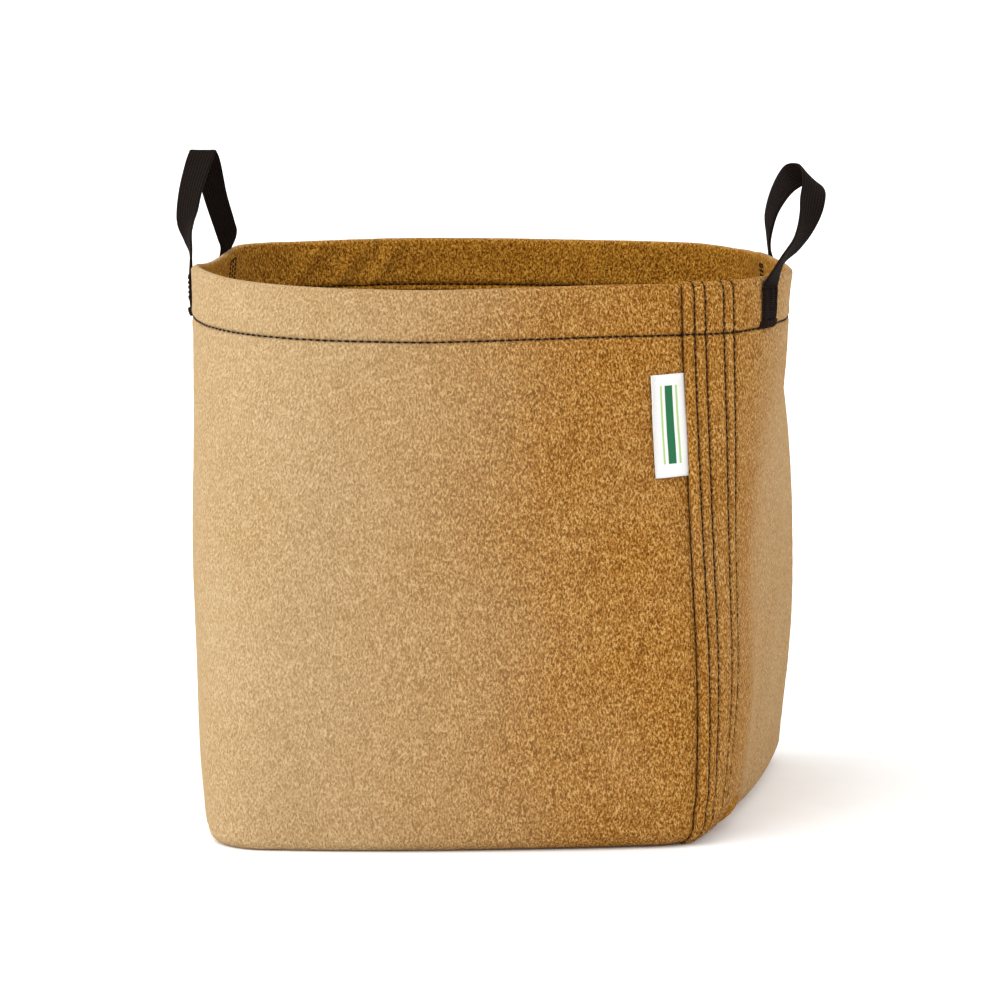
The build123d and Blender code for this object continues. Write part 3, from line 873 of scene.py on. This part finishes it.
def ribbon(name, records, width, half, count):
    """Webbing strip with rounded selvedges along centres and width directions."""
    curve, length = smooth_curve(records, count)
    centres = curve[:, :3]
    tangents = np.gradient(centres, axis=0)
    tangents /= np.linalg.norm(tangents, axis=1)[:, None]
    across = curve[:, 3:]
    across = across - tangents * np.sum(across * tangents, 1)[:, None]
    across /= np.linalg.norm(across, axis=1)[:, None]
    face = np.cross(tangents, across)
    shape = np.array(WEBBING_SHAPE)
    points = (centres[:, None] + across[:, None] * (shape[:, 0] * width / 2)[None, :, None]
              + face[:, None] * (shape[:, 1] * half)[None, :, None])
    rows, columns = points.shape[:2]
    faces, face_rows, face_columns = grid_faces(rows, columns, False, True)
    around = np.append(shape[:, 0] * width / 2, shape[0, 0] * width / 2)
    walked = np.linspace(0, length, rows)
    uvs = list(np.stack([around[face_columns], walked[face_rows]], 2).reshape(-1, 2))
    for row, order in ((0, range(columns - 1, -1, -1)), (rows - 1, range(columns))):
        faces.append([row * columns + k for k in order])
        uvs += [(around[k], walked[row]) for k in order]
    piece = mesh_object(name, points.reshape(-1, 3), faces, WEBBING_LOOK, uvs)
    return piece, length


def rectangle_runs(spot, size, centre_level, stand_off, side):
    """Stitch runs of a box stitch round one strap end, on the outside or the inside of the hem."""
    width, height = size
    left = spot - width / 2 / cloth.step
    right = spot + width / 2 / cloth.step
    low, high = centre_level - height / 2, centre_level + height / 2
    paths = [[(left, low), (left, high)], [(left, high), (right, high)], [(right, high), (right, low)],
             [(right, low), (left, low)], [(spot, low), (spot, high)]]
    runs = []
    for (c0, z0), (c1, z1) in paths:
        share = np.linspace(0, 1, 24)
        rows = np.array([cloth.row_at(z0 + (z1 - z0) * s, side) for s in share])
        point, normal = cloth.at(rows, c0 + (c1 - c0) * share)
        runs.append((point + normal * stand_off, normal))
    return runs


def build_handles():
    for name in ("left", "right"):
        records = handle_path(name)
        strap, length = ribbon(f"webbing_{name}_handle", records, WEBBING_WIDTH, WEBBING_HALF, 190)
        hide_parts(f"{name}_handle_loop", f"{name}_front_strap_end", f"{name}_back_strap_end")
        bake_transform(strap)
        lift = 2 * WEBBING_HALF + 0.45 * MM
        for end in ("front", "back"):
            spot = strap_place(name, end)
            outer = rectangle_runs(spot, BOX_STITCH, BOX_LEVEL, lift, "outside")
            add_stitches(f"thread_{name}_{end}_box", outer, [f"{name}_{end}_box_stitch"], pitch=2.4 * MM,
                         length=2.0 * MM, radius=0.33 * MM, rise=0.15 * MM)
            inner = rectangle_runs(spot, BOX_STITCH, BOX_LEVEL, 0.1 * MM, "hem")
            add_stitches(f"thread_{name}_{end}_inside", inner, [], pitch=2.4 * MM, length=2.0 * MM,
                         radius=0.45 * MM, rise=0.15 * MM)
            build_bartack(name, end, spot, lift)


def build_bartack(name, end, spot, lift):
    """Dense zigzag of thread over the strap's foot, a little wider than the strap."""
    half = BARTACK_HALF / cloth.step
    runs = []
    for level in np.arange(-1.5, 1.6, 0.5):
        z = STITCH_LEVEL + (1.2 + level) * MM
        share = np.linspace(-1, 1, 20)
        row = cloth.row_at(z, "outside")
        point, normal = cloth.at(np.full(20, row), spot + share * half)
        height = np.where(np.abs(share) < 0.86, lift, 0.3 * MM)
        runs.append((point + normal * height[:, None], normal))
    add_stitches(f"thread_{name}_{end}_bartack", runs, [f"{name}_{end}_bartack"], pitch=3.4 * MM,
                 length=3.9 * MM, radius=0.45 * MM, rise=0.2 * MM)


# ---------------------------------------------------------------- label
LABEL_SIZE = (16.8 * MM, 46 * MM)
LABEL_GAP = 0.3 * MM  # between the label's sewn edge and the seam's fold


def build_label():
    """Two-layered woven tab held in the seam, lying on the front and curling off it a little."""
    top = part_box("label_flap")[1].z - 0.4 * MM
    width, height = LABEL_SIZE
    across = np.linspace(0, 1, 19)
    up = np.linspace(0, 1, 41)
    sheets = []
    for layer in (1, -1):
        rows = []
        for share in up:
            z = top - height * (1 - share)
            points = []
            for place in across:
                distance = -LABEL_GAP - width * place - 0.8 * MM * (share - 0.5)
                level = z - 0.06 * width * place
                row = np.array(cloth.row_at(level, "outside"))
                column = np.array(cloth.column_at(min(distance, -LABEL_GAP)))
                point, normal = cloth.at(row, column)
                curl = 0.75 * MM + 0.7 * MM * place**2 + 0.25 * MM * math.sin(5 * share + 3 * place)
                points.append(point + normal * (curl + layer * 0.22 * MM))
            rows.append(points)
        sheets.append(np.array(rows))
    front, behind = sheets
    count_up, count_across = len(up), len(across)
    faces, face_rows, face_columns = grid_faces(count_up, count_across, False, False)
    uvs = np.stack([across[face_columns] * width, up[face_rows] * height], 2).reshape(-1, 4, 2)
    total = count_up * count_across
    front_faces = [face[::-1] for face in faces]
    behind_faces = [[corner + total for corner in face] for face in faces]
    border = list(range(count_across))
    border += [k * count_across + count_across - 1 for k in range(1, count_up)]
    border += [(count_up - 1) * count_across + k for k in range(count_across - 2, -1, -1)]
    border += [k * count_across for k in range(count_up - 2, 0, -1)]
    rim_faces = []
    for first, second in zip(border, border[1:] + border[:1]):
        rim_faces.append([first, second, second + total, first + total])
    uv_list = list(uvs[:, ::-1].reshape(-1, 2)) + list(uvs.reshape(-1, 2))
    uv_list += [(1 * MM, 1 * MM)] * (4 * len(rim_faces))
    points = np.vstack([front.reshape(-1, 3), behind.reshape(-1, 3)])
    label = mesh_object("woven_label", points, front_faces + behind_faces + rim_faces, LABEL_LOOK, uv_list)
    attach(label, "label")
    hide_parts("label_flap")


wall = build_wall()
base = build_base()
ridge, crest = build_base_allowance()
build_seam_stitches(crest)
build_handles()
build_label()


# ---------------------------------------------------------------- floor, lights, camera
FLOOR_HALF = 6.0
CAMERA_PLACE = (0, -2.418, 0.4867)
CAMERA_DROP = math.radians(8.064)  # how far it looks down
CAMERA_LENS = 184.6


def build_stage():
    points = [(-FLOOR_HALF, -FLOOR_HALF, 0), (FLOOR_HALF, -FLOOR_HALF, 0), (FLOOR_HALF, FLOOR_HALF, 0),
              (-FLOOR_HALF, FLOOR_HALF, 0)]
    floor = mesh_object("floor", points, [[0, 1, 2, 3]], floor_material())


def sun(name, azimuth, elevation, strength, angle, colour=(1, 1, 1)):
    """Broad soft light from a direction in degrees: azimuth 0 is the front, 90 the right, -90 the left."""
    data = bpy.data.lights.new(name, "SUN")
    data.energy = strength
    data.angle = math.radians(angle)
    data.color = colour
    light = bpy.data.objects.new(name, data)
    turn, climb = math.radians(azimuth), math.radians(elevation)
    towards = Vector((math.sin(turn) * math.cos(climb), -math.cos(turn) * math.cos(climb), math.sin(climb)))
    light.rotation_euler = towards.to_track_quat("Z", "Y").to_euler()
    bpy.context.collection.objects.link(light)


def build_light():
    sun("key", -68, 40, 2.5, 75, (1.0, 0.985, 0.96))
    sun("fill", 78, 25, 0.75, 60)
    world = bpy.data.worlds.new("studio")
    world.use_nodes = True
    background = world.node_tree.nodes["Background"]
    background.inputs["Color"].default_value = (1, 1, 1, 1)
    background.inputs["Strength"].default_value = 1.1
    bpy.context.scene.world = world
    bpy.context.scene.view_settings.view_transform = "Standard"


def build_camera():
    data = bpy.data.cameras.new("camera")
    data.lens = CAMERA_LENS
    data.sensor_width = 36
    data.clip_end = 50
    camera = bpy.data.objects.new("camera", data)
    camera.location = CAMERA_PLACE
    camera.rotation_euler = (math.pi / 2 - CAMERA_DROP, 0, 0)
    bpy.context.collection.objects.link(camera)
    bpy.context.scene.camera = camera


build_stage()
build_light()
build_camera()
